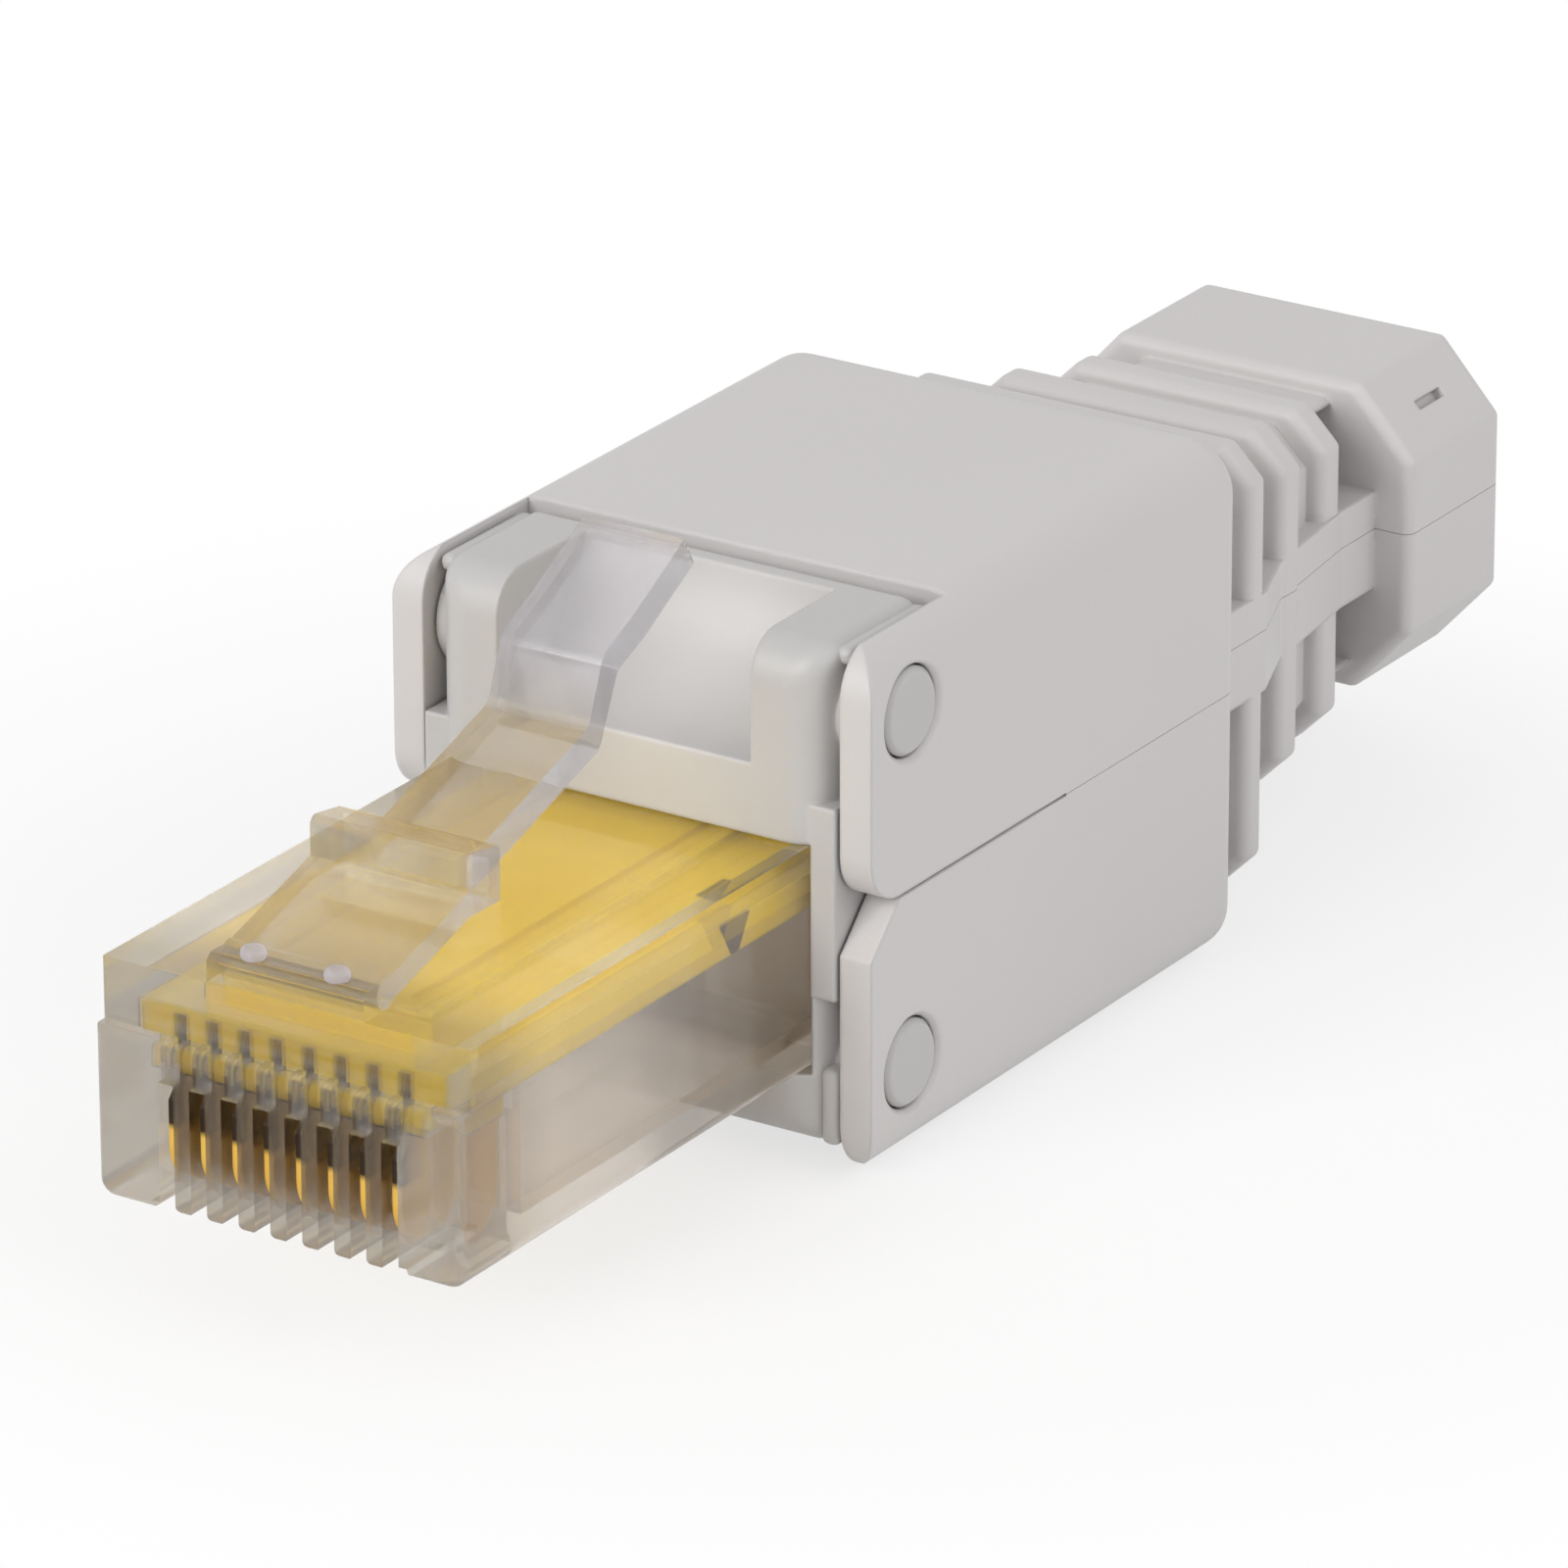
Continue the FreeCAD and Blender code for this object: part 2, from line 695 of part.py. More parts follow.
def tail_outside():
    """The whole ribbed tail, both halves, without its bore."""
    collar = tail_ring(collar_width, collar_rise, collar_drop, collar_start, collar_rear,
                       collar_corner, collar_corner)
    cap = tail_ring(cap_width, cap_rise, cap_drop, cap_start, overall_length,
                    chamfer_across, chamfer_up)
    return tail_core().fuse([collar, cap, tail_spine()] + tail_ribs()).cut(tail_windows())


def cable_bore():
    """The way in for the cable, flared at its mouth, with ribs left that grip the sheath."""
    bore = rod_along(bore_radius, housing_rear - 2 * cover_end_wall, overall_length + 1, housing_middle)
    mouth = Part.makeCone(bore_radius, bore_radius + bore_mouth, bore_mouth,
                          FreeCAD.Vector(0, overall_length - bore_mouth, housing_middle),
                          FreeCAD.Vector(0, 1, 0))
    for index in range(grip_rib_count):
        start = housing_rear + grip_rib_setback + index * grip_rib_pitch
        ring = rod_along(bore_radius + 1, start, start + grip_rib_width, housing_middle)
        ring = ring.cut(rod_along(bore_radius - grip_rib_height, start - 1,
                                  start + grip_rib_width + 1, housing_middle))
        bore = bore.cut(ring)
    return bore.fuse(mouth)


def housing_outside():
    """The rounded block that both covers are cut from."""
    half = housing_width / 2
    block = box(-half, half, housing_front, housing_rear, underside, housing_top)
    across = rounded(block, housing_front_edge,
                     lambda b: flat_in(b.YMin, b.YMax, housing_front) and b.XLength > half)
    along = rounded(block, housing_edge, lambda b: b.YLength > housing_edge)
    along = rounded(along, housing_rear_edge, lambda b: flat_in(b.YMin, b.YMax, housing_rear))
    return across.common(along)


def cover_hollow():
    """The room inside the covers, and the opening between the cheeks in front of the lips."""
    far = housing_height
    room = box(-cover_inside_x, cover_inside_x, cover_lip - 1, housing_rear - cover_end_wall,
               underside + cover_wall, housing_top - cover_wall)
    room = rounded(room, housing_edge - cover_wall, lambda b: b.YLength > far / 2)
    front = box(-cover_inside_x, cover_inside_x, housing_front - 1, cover_lip,
                underside - far, housing_top + far)
    return room.fuse(front)


def upper_half_space():
    """Everything above the parting plane: the seam is open in front and closes tightly behind."""
    far = overall_length
    middle = housing_front + seam_length
    high = housing_middle + far
    ahead = box(-far, far, -far, middle, housing_middle + parting_gap / 2, high)
    behind = box(-far, far, middle, 2 * far, housing_middle + closed_gap / 2, high)
    return ahead.fuse(behind)


def hinge_holes(z):
    """The holes of one hinge in both cheeks, bevelled on the outside."""
    radius = hinge_pin_radius + hinge_pin_clearance
    outer = housing_width / 2
    hole = rod_across(radius, -outer - 1, outer + 1, hinge_y, z)
    bevel = Part.makeCone(radius, radius + hinge_pin_chamfer, hinge_pin_chamfer,
                          FreeCAD.Vector(outer - hinge_pin_chamfer, hinge_y, z),
                          FreeCAD.Vector(1, 0, 0))
    return hole.fuse(both_sides(bevel))


def both_covers():
    """The whole housing and tail in one, before it is parted into two covers."""
    solid = housing_outside().cut(cover_hollow()).fuse(tail_outside())
    return solid.cut([cable_bore(), hinge_holes(upper_hinge_z), hinge_holes(lower_hinge_z)])


def cheek_front_corner(cover, z, size, treat):
    """The front corner of both cheeks at the parting line, rounded or bevelled."""
    return treat(cover, size, lambda b: flat_in(b.YMin, b.YMax, housing_front)
                 and flat_in(b.ZMin, b.ZMax, z))


def closing_tongues():
    """Two tongues of the upper cover that reach down inside the lower one and line it up."""
    outer = cover_inside_x - tongue_gap
    rear = housing_rear - cover_end_wall - tongue_gap - tongue_width
    low = housing_middle - tongue_reach
    stem = box(outer - tongue_width, outer, rear - tongue_length, rear, low, housing_middle + tongue_reach)
    root = box(outer - tongue_width, cover_inside_x + cover_wall / 2, rear - tongue_length, rear,
               housing_middle + parting_gap, housing_middle + tongue_reach)
    stem = bevelled(stem, tongue_width / 2, lambda b: flat_in(b.ZMin, b.ZMax, low)
                    and flat_in(b.XMin, b.XMax, outer))
    return both_sides(stem.fuse(root))


def cap_slot():
    """A short moulding slot on the upper right bevel of the cap."""
    middle_y = cap_start + cap_length / 2
    x = cap_width / 2 - chamfer_across / 2
    z = housing_middle + cap_rise - chamfer_up / 2
    slot = box(-cap_slot_width / 2, cap_slot_width / 2, -cap_slot_length / 2, cap_slot_length / 2,
               -cap_slot_width, cap_slot_width)
    slot.rotate(FreeCAD.Vector(0, 0, 0), FreeCAD.Vector(0, 1, 0),
                degrees(atan2(chamfer_up, chamfer_across)))
    slot.translate(FreeCAD.Vector(x, middle_y, z))
    return slot


def top_cover():
    """The upper cover: rounded cheek corners, closing tongues and the slot on its cap."""
    cover = both_covers().common(upper_half_space()).removeSplitter()
    cover = cheek_front_corner(cover, housing_middle + parting_gap / 2, cover_corner_radius, rounded)
    return cover.fuse(closing_tongues()).cut(cap_slot()).removeSplitter()


def bottom_cover():
    """The lower cover, bevelled where the upper cheeks turn past it."""
    cover = both_covers().common(upside_down(upper_half_space())).removeSplitter()
    return cheek_front_corner(cover, housing_middle - parting_gap / 2, cover_corner_chamfer, bevelled)


def save(name, shape):
    """Move one piece to the model's origin and write it out."""
    solid = shape.copy()
    solid.translate(origin_shift)
    if len(solid.Solids) != 1 or not solid.isValid():
        print("check", name, len(solid.Solids), "solids, valid", solid.isValid())
    solid.Solids[0].exportStep("parts/" + name + ".step")


os.makedirs("parts", exist_ok=True)
save("frame", frame())
save("front_shell", front_shell())
save("latch", latch())
save("contact_carrier", contact_carrier())
save("circuit_board", circuit_board())
save("top_cover", top_cover())
save("bottom_cover", bottom_cover())
save("upper_terminal_block", upper_terminal_block())
save("lower_terminal_block", upside_down(upper_terminal_block(terminal_row_offset)))
save("upper_wire_guide", upper_wire_guide())
save("lower_wire_guide", upside_down(upper_wire_guide(terminal_row_offset, lower_cover_height)))
for number in range(1, contact_count + 1):
    save("contact_" + str(number), contact(number))
for index, (x, y) in enumerate(terminal_places(), start=1):
    save("upper_terminal_" + str(index), upper_terminal(x, y))
    save("lower_terminal_" + str(index), lower_terminal(x, y))
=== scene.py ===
import bpy
from mathutils import Matrix, Vector


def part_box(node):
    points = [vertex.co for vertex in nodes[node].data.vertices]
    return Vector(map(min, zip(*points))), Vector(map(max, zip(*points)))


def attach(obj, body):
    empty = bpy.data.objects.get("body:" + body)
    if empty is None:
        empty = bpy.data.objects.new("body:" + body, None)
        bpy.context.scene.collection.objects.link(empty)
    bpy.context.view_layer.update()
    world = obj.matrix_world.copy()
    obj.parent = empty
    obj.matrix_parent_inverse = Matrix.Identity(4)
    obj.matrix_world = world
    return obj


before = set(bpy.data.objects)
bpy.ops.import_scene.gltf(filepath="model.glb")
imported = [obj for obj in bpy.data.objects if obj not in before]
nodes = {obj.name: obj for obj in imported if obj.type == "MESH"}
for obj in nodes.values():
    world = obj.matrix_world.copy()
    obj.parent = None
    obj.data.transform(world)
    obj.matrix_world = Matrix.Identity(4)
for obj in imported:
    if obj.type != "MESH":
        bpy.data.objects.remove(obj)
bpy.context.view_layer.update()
MM = 0.001


# ---- circuit board
# A routed FR4 laminate, 1 mm thick, under a gloss solder mask. Copper tracks lie under the mask and
# lead from the eight contacts to the terminals; the board slides into the frame's rails.
def linear(colour):
    """An sRGB hex value as linear red, green, blue and alpha."""
    parts = [int(colour[i:i + 2], 16) / 255 for i in (1, 3, 5)]
    return [p / 12.92 if p <= 0.04045 else ((p + 0.055) / 1.055) ** 2.4 for p in parts] + [1.0]


def add_node(tree, kind, inputs=None, **settings):
    """Adds a node, sets its settings, and sets or links its inputs."""
    node = tree.nodes.new(kind)
    for name, value in settings.items():
        setattr(node, name, value)
    for socket, value in (inputs or {}).items():
        if isinstance(value, bpy.types.NodeSocket):
            tree.links.new(value, node.inputs[socket])
        else:
            node.inputs[socket].default_value = value
    return node


def new_material(name):
    """An empty material with its node tree."""
    material = bpy.data.materials.new(name)
    material.use_nodes = True
    material.node_tree.nodes.clear()
    return material, material.node_tree


def finish_node(name, material):
    """Gives a carried-over solid its material."""
    nodes[name].data.materials.clear()
    nodes[name].data.materials.append(material)


# Solder mask on FR4 gives the eye a deep glossy green that is lighter over the copper tracks,
# with the faint weave of the glass cloth under it.
TRACK_PITCH = 1.02 * MM
TRACK_EDGE_START = 0.55
TRACK_EDGE_END = 0.65
MASK_RISE = 0.03 * MM
GLASS_WEAVE = 0.45 * MM
material, tree = new_material("solder_mask_on_fr4")
place = add_node(tree, "ShaderNodeTexCoord").outputs["Object"]
split = add_node(tree, "ShaderNodeSeparateXYZ", {0: place})
across = add_node(tree, "ShaderNodeMath", {0: split.outputs["X"], 1: 1 / TRACK_PITCH},
                  operation="MULTIPLY")
step = add_node(tree, "ShaderNodeMath", {0: across.outputs[0], 1: 1.0}, operation="PINGPONG")
track = add_node(tree, "ShaderNodeMapRange", {"Value": step.outputs[0], "From Min": TRACK_EDGE_START,
                                              "From Max": TRACK_EDGE_END})
weave = add_node(tree, "ShaderNodeTexChecker", {"Vector": place, "Scale": 1 / GLASS_WEAVE})
cloth = add_node(tree, "ShaderNodeMix", {0: weave.outputs["Fac"], 6: linear("#1F6A3E"),
                                         7: linear("#236F43")}, data_type="RGBA")
mask = add_node(tree, "ShaderNodeMix", {0: track.outputs[0], 6: cloth.outputs[2], 7: linear("#3B9A5C")},
                data_type="RGBA")
height = add_node(tree, "ShaderNodeBump", {"Height": track.outputs[0], "Strength": 0.5,
                                           "Distance": MASK_RISE})
shader = add_node(tree, "ShaderNodeBsdfPrincipled", {"Base Color": mask.outputs[2], "Roughness": 0.25,
                                                     "IOR": 1.52, "Normal": height.outputs[0]})
add_node(tree, "ShaderNodeOutputMaterial", {"Surface": shader.outputs[0]})
finish_node("circuit_board", material)


# ---- insulation-displacement terminals
# Forks stamped from phosphor bronze strip and tin plated: the slit of each cuts the insulation of
# one wire and grips its copper. They stand in the board's plated holes, four above and four below.
METAL_DRIFT = 1.5 * MM
LINE_STRETCH = 0.08
LINE_DEPTH = 0.01 * MM
METAL_GLOSS_SWING = 0.08


def metal_finish(name, colour, shade, roughness, lines_mm, metallic=1.0, painted_shade=None):
    """Plated strip: a slow drift of tone and the fine drawn lines that rolling left along it.

    Its last argument is a function that adds the nodes for where a painted shade darkens the metal, from
    0 to 1.
    """
    material, tree = new_material(name)
    place = add_node(tree, "ShaderNodeTexCoord").outputs["Object"]
    drift = add_node(tree, "ShaderNodeTexNoise", {"Vector": place, "Scale": 1 / METAL_DRIFT,
                                                  "Detail": 2.0})
    tone = add_node(tree, "ShaderNodeMix", {0: drift.outputs[0], 6: linear(shade), 7: linear(colour)},
                    data_type="RGBA")
    if painted_shade:
        # Painted shade: where that function says, the tone is mixed to dark brown.
        tone = add_node(tree, "ShaderNodeMix", {0: painted_shade(tree, place), 6: tone.outputs[2],
                                                7: linear("#2B1D0C")}, data_type="RGBA")
    stretch = add_node(tree, "ShaderNodeMapping", {"Vector": place, "Scale": (1.0, LINE_STRETCH, 1.0)})
    lines = add_node(tree, "ShaderNodeTexNoise", {"Vector": stretch.outputs[0],
                                                  "Scale": 1 / (lines_mm * MM), "Detail": 2.0})
    gloss = add_node(tree, "ShaderNodeMapRange", {"Value": lines.outputs[0],
                                                  "To Min": roughness - METAL_GLOSS_SWING,
                                                  "To Max": roughness + METAL_GLOSS_SWING})
    height = add_node(tree, "ShaderNodeBump", {"Height": lines.outputs[0], "Strength": 0.2,
                                               "Distance": LINE_DEPTH})
    shader = add_node(tree, "ShaderNodeBsdfPrincipled",
                      {"Base Color": tone.outputs[2], "Metallic": metallic, "Roughness": gloss.outputs[0],
                       "Normal": height.outputs[0]})
    add_node(tree, "ShaderNodeOutputMaterial", {"Surface": shader.outputs[0]})
    return material


# Matt tin over bronze gives the eye a warm grey white with soft, slightly streaked highlights.
tinned = metal_finish("tinned_phosphor_bronze", "#D8D3C8", "#C4BEB2", 0.3, 0.15)
for row in ("upper", "lower"):
    for number in range(1, 5):
        finish_node(f"{row}_terminal_{number}", tinned)


# ---- terminal blocks and wire guides
# Moulded polycarbonate inserts: the blocks insulate the forks and lay each wire in a trough, and the
# guides are pressed into the covers and push the wires home as the covers close.
EDGE_RADIUS = 0.2 * MM
PLASTIC_DRIFT = 9 * MM
GRAIN_DEPTH = 0.02 * MM
PLASTIC_GLOSS_SWING = 0.06


def moulded_finish(name, colour, shade, edge, roughness, grain_mm, bump, calm=None, **shader_inputs):
    """Moulded plastic: drifting tone, a fine spark-eroded grain, rounded edges with a painted highlight.

    calm is a function that adds the nodes for where an edge is left sharp and gets no painted highlight.
    """
    material, tree = new_material(name)
    place = add_node(tree, "ShaderNodeTexCoord").outputs["Object"]
    drift = add_node(tree, "ShaderNodeTexNoise", {"Vector": place, "Scale": 1 / PLASTIC_DRIFT,
                                                  "Detail": 2.0})
    tone = add_node(tree, "ShaderNodeMix", {0: drift.outputs[0], 6: linear(shade), 7: linear(colour)},
                    data_type="RGBA")
    rounded = add_node(tree, "ShaderNodeBevel", {"Radius": EDGE_RADIUS}, samples=6).outputs[0]
    flat = add_node(tree, "ShaderNodeNewGeometry").outputs["Normal"]
    if calm:
        rounded = add_node(tree, "ShaderNodeMix", {0: calm(tree, place), 4: rounded, 5: flat},
                           data_type="VECTOR").outputs[1]
    lean = add_node(tree, "ShaderNodeVectorMath", {0: rounded, 1: flat}, operation="DOT_PRODUCT")
    # The edge colour is a painted highlight, laid where the rounded normal leans away from the flat one.
    at_edge = add_node(tree, "ShaderNodeMapRange", {"Value": lean.outputs["Value"], "From Min": 0.995,
                                                   "From Max": 0.8})
    edge_highlight = add_node(tree, "ShaderNodeMix", {0: at_edge.outputs[0], 6: tone.outputs[2], 7: linear(edge)},
                    data_type="RGBA")
    grain = add_node(tree, "ShaderNodeTexNoise", {"Vector": place, "Scale": 1 / (grain_mm * MM),
                                                  "Detail": 3.0})
    gloss = add_node(tree, "ShaderNodeMapRange", {"Value": grain.outputs[0],
                                                  "To Min": roughness - PLASTIC_GLOSS_SWING,
                                                  "To Max": roughness + PLASTIC_GLOSS_SWING})
    height = add_node(tree, "ShaderNodeBump", {"Height": grain.outputs[0], "Strength": bump,
                                               "Distance": GRAIN_DEPTH, "Normal": rounded})
    shader = add_node(tree, "ShaderNodeBsdfPrincipled", {"Base Color": edge_highlight.outputs[2],
                                                         "Roughness": gloss.outputs[0],
                                                         "Normal": height.outputs[0], **shader_inputs})
    add_node(tree, "ShaderNodeOutputMaterial", {"Surface": shader.outputs[0]})
    return material


# Glass-filled polycarbonate gives the eye an ivory white with a dull, even sheen.
insert = moulded_finish("insert_polycarbonate", "#E9E5D8", "#DDD8C9", "#F1EEE4", 0.4, 0.25, 0.2)
for name in ("upper_terminal_block", "lower_terminal_block", "upper_wire_guide", "lower_wire_guide"):
    finish_node(name, insert)


def start_block(name, low, high):
    """A block between two corners, with its place in its mesh, ready to be shaped."""
    bpy.ops.object.select_all(action="DESELECT")
    middle = [(a + b) / 2 for a, b in zip(low, high)]
    bpy.ops.mesh.primitive_cube_add(size=1, location=middle, scale=[b - a for a, b in zip(low, high)])
    bpy.ops.object.transform_apply(location=True, rotation=True, scale=True)
    piece = bpy.context.object
    piece.name = name
    return piece


SMOOTH_BELOW = 0.6


def round_edges(piece, radius, segments=3):
    """Rounds all the edges of the piece that is selected, and shades it smooth up to that angle."""
    bevel = piece.modifiers.new("edges", "BEVEL")
    bevel.width = radius
    bevel.segments = segments
    bpy.ops.object.modifier_apply(modifier=bevel.name)
    bpy.ops.object.shade_smooth_by_angle(angle=SMOOTH_BELOW)


def moved_copy(piece, name, shift):
    """A copy with a mesh of its own, moved within that mesh."""
    copy = piece.copy()
    copy.data = piece.data.copy()
    copy.data.transform(Matrix.Translation(shift))
    copy.name = name
    bpy.context.scene.collection.objects.link(copy)
    return copy


# Beside each trough a printed bar tells which wire goes there, as on most such blocks, in the usual
# colours for four pairs. Ink gives the eye a flat, dull colour, with white bands where the wire is
# the banded one of its pair. Each bar is thicker than ink, so that it shows.
MARK_WIDTH = 0.5 * MM
MARK_LENGTH = 2.2 * MM
MARK_RISE = 0.03 * MM
MARK_ROUND = 0.01 * MM
MARK_OFFSET = 0.87 * MM
MARK_SETBACK = 0.4 * MM
BAND_PERIOD = 0.55 * MM
WAVE_UNIT = 0.314
WIRES = {"upper": (("orange", True), ("orange", False), ("green", True), ("blue", False)),
         "lower": (("blue", True), ("green", False), ("brown", True), ("brown", False))}
INKS = {"orange": "#D9701E", "green": "#2F8A49", "blue": "#2C5CA6", "brown": "#7B4B2A"}
for row, wires in WIRES.items():
    block_low, block_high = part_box(f"{row}_terminal_block")
    face = block_high[2] if row == "upper" else block_low[2] - MARK_RISE
    for number, (ink, banded) in enumerate(wires, start=1):
        fork_low, fork_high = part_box(f"{row}_terminal_{number}")
        fork = (fork_low[0] + fork_high[0]) / 2
        middle = fork + (MARK_OFFSET if fork > 0 else -MARK_OFFSET)
        bar = start_block(f"wire_mark_{row}_{number}",
                          (middle - MARK_WIDTH / 2, block_high[1] - MARK_SETBACK - MARK_LENGTH, face),
                          (middle + MARK_WIDTH / 2, block_high[1] - MARK_SETBACK, face + MARK_RISE))
        round_edges(bar, MARK_ROUND, 2)
        material, tree = new_material(f"printed_ink_{row}_{number}")
        tone = linear(INKS[ink])
        if banded:
            place = add_node(tree, "ShaderNodeTexCoord").outputs["Object"]
            bands = add_node(tree, "ShaderNodeTexWave", {"Vector": place, "Distortion": 0.3,
                                                         "Scale": WAVE_UNIT / BAND_PERIOD},
                             bands_direction="Y")
            white_part = add_node(tree, "ShaderNodeMapRange", {"Value": bands.outputs["Fac"],
                                                               "From Min": 0.45, "From Max": 0.55})
            tone = add_node(tree, "ShaderNodeMix", {0: white_part.outputs[0], 6: tone,
                                                    7: linear("#ECEAE4")}, data_type="RGBA").outputs[2]
        shader = add_node(tree, "ShaderNodeBsdfPrincipled", {"Base Color": tone, "Roughness": 0.55})
        add_node(tree, "ShaderNodeOutputMaterial", {"Surface": shader.outputs[0]})
        bar.data.materials.append(material)
        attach(bar, "base")


# ---- contacts
# Eight blades stamped from phosphor bronze and gold plated over nickel. Each stands in its slot of
# the comb, is barbed into the carrier, and runs back as a lead to the board.
# Hard gold gives the eye a warm saturated yellow. It is drawn only partly metallic, as a full metal
# has nothing but the narrow slot to mirror and goes almost black there.
# The top of each slot lies in shade and looks dark. A blade fills its slot up to the roof here, so
# that shade is painted onto the top of its front edge: painted shade.
DARK_FROM = 1.8 * MM
DARK_BLUR = 0.1 * MM
DARK_DEPTH = 1.2 * MM
contact_low, contact_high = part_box("contact_1")


def painted_slot_shade(tree, place):
    """One on the top of a blade's front edge, where the slot's shade is painted."""
    split = add_node(tree, "ShaderNodeSeparateXYZ", {0: place}).outputs
    start = contact_low[2] + DARK_FROM
    above = add_node(tree, "ShaderNodeMapRange", {"Value": split["Z"], "From Min": start - DARK_BLUR,
                                                  "From Max": start + DARK_BLUR}).outputs[0]
    end = contact_low[1] + DARK_DEPTH
    front = add_node(tree, "ShaderNodeMapRange", {"Value": split["Y"], "From Min": end,
                                                  "From Max": end - DARK_DEPTH / 2}).outputs[0]
    return add_node(tree, "ShaderNodeMath", {0: above, 1: front}, operation="MULTIPLY").outputs[0]


gold = metal_finish("gold_plated_phosphor_bronze", "#FFD868", "#F0B948", 0.38, 0.1, 0.45, painted_slot_shade)
for number in range(1, 9):
    finish_node(f"contact_{number}", gold)


# A small pillow of solder holds the end of each lead under the board.
# Reflowed tin solder gives the eye a bright, slightly wrinkled silver.
SOLDER_WIDTH = 0.62 * MM
SOLDER_LENGTH = 1.1 * MM
SOLDER_DROP = 0.38 * MM
SOLDER_PAST_LEAD = 0.2 * MM
SOLDER_ROUND = 0.08 * MM
solder_finish = metal_finish("reflowed_solder", "#E2E0DB", "#CFCCC6", 0.24, 0.5)
lead_x = (contact_low[0] + contact_high[0]) / 2
board_low, board_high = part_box("circuit_board")
solder = start_block("contact_solder_1",
                     (lead_x - SOLDER_WIDTH / 2, contact_high[1] - SOLDER_LENGTH,
                      board_low[2] - SOLDER_DROP),
                     (lead_x + SOLDER_WIDTH / 2, contact_high[1] + SOLDER_PAST_LEAD, board_low[2]))
bpy.ops.object.mode_set(mode="EDIT")
bpy.ops.mesh.select_all(action="SELECT")
bpy.ops.mesh.subdivide(number_cuts=2, smoothness=0.6)
bpy.ops.object.mode_set(mode="OBJECT")
round_edges(solder, SOLDER_ROUND)
solder.data.materials.append(solder_finish)
pieces = [solder]
for number in range(2, 9):
    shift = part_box(f"contact_{number}")[0][0] - contact_low[0]
    pieces.append(moved_copy(solder, f"contact_solder_{number}", (shift, 0, 0)))
for piece in pieces:
    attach(piece, "base")


# ---- contact carrier
# The yellow insert that the contacts are pressed into: one PBT moulding, slid into the clear plug.
# PBT gives the eye a saturated, slightly waxy yellow; some light goes into it and comes out again.
yellow = moulded_finish("yellow_pbt", "#FFE500", "#F9D800", "#FFEA20", 0.5, 0.3, 0.2,
                         **{"Specular IOR Level": 0.2})
finish_node("contact_carrier", yellow)


# ---- clear front shell
# The plug body that enters the jack, moulded in polycarbonate with a comb of eight slots. It holds
# the carrier and is gripped in the window of the inner frame.
RIPPLE_LENGTH = 1.2 * MM
RIPPLE_DEPTH = 0.05 * MM
HAZE_SWING = 0.05
SHADE_LEFT = 0.03


def clear_finish(name, tint, roughness, transmission, see_through):
    """Clear polycarbonate, a little hazy, that lets lamp light through to what is inside.

    tint is a function that adds the nodes for its colour. see_through is the share of what lies
    behind that shows straight through, unbent; the rest is refracted.
    """
    material, tree = new_material(name)
    place = add_node(tree, "ShaderNodeTexCoord").outputs["Object"]
    ripple = add_node(tree, "ShaderNodeTexNoise", {"Vector": place, "Scale": 1 / RIPPLE_LENGTH,
                                                   "Detail": 3.0})
    haze = add_node(tree, "ShaderNodeMapRange", {"Value": ripple.outputs[0],
                                                 "To Min": roughness - HAZE_SWING,
                                                 "To Max": roughness + HAZE_SWING})
    height = add_node(tree, "ShaderNodeBump", {"Height": ripple.outputs[0], "Strength": 0.05,
                                               "Distance": RIPPLE_DEPTH})
    shadow = add_node(tree, "ShaderNodeLightPath").outputs["Is Shadow Ray"]
    solid = add_node(tree, "ShaderNodeMapRange", {"Value": shadow, "To Min": 1 - see_through,
                                                  "To Max": SHADE_LEFT})
    shader = add_node(tree, "ShaderNodeBsdfPrincipled",
                      {"Base Color": tint(tree, place), "Roughness": haze.outputs[0], "IOR": 1.5,
                       "Specular IOR Level": 0.35, "Transmission Weight": transmission,
                       "Alpha": solid.outputs[0], "Normal": height.outputs[0]})
    add_node(tree, "ShaderNodeOutputMaterial", {"Surface": shader.outputs[0]})
    return material


# Thin walls give the eye a faint beige over what is inside; the comb and nose, which are solid, a
# smoky one.
SMOKY_TO = 1.65 * MM
FAINT_FROM = 4.29 * MM
shell_low, shell_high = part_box("front_shell")


def nose_tint(tree, place):
    """Smoky at the nose, faint behind the comb."""
    along = add_node(tree, "ShaderNodeSeparateXYZ", {0: place}).outputs["Y"]
    solid = add_node(tree, "ShaderNodeMapRange", {"Value": along, "From Min": shell_low[1] + FAINT_FROM,
                                                  "From Max": shell_low[1] + SMOKY_TO})
    return add_node(tree, "ShaderNodeMix", {0: solid.outputs[0], 6: linear("#DCD0C0"),
                                            7: linear("#95866D")}, data_type="RGBA").outputs[2]


finish_node("front_shell", clear_finish("clear_polycarbonate", nose_tint, 0.1, 0.97, 0.35))

# On each side a small dark three-cornered mark shows on the insert, as a snap notch would. It isn't
# cut: a block is let into the insert and stands a little proud of it.
# The block is painted the dark yellow brown of the shadow in such a notch: a painted shadow.
NOTCH_SETBACK = 12.9 * MM
NOTCH_LENGTH = 1.5 * MM
NOTCH_PROUD = 0.045 * MM
NOTCH_DEPTH = 0.3 * MM
NOTCH_HEIGHT = 1.0 * MM
NOTCH_DROP = 0.55 * MM
NOTCH_ROUND = 0.06 * MM
NOTCH_TAPER = 0.25
notch_painted_shadow = moulded_finish("shaded_pbt", "#4E3A16", "#402F12", "#5A4520", 0.5, 0.3, 0.2)
carrier_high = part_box("contact_carrier")[1]
notch_top = carrier_high[2] - NOTCH_DROP
ALMOST_ALONG = 0.9


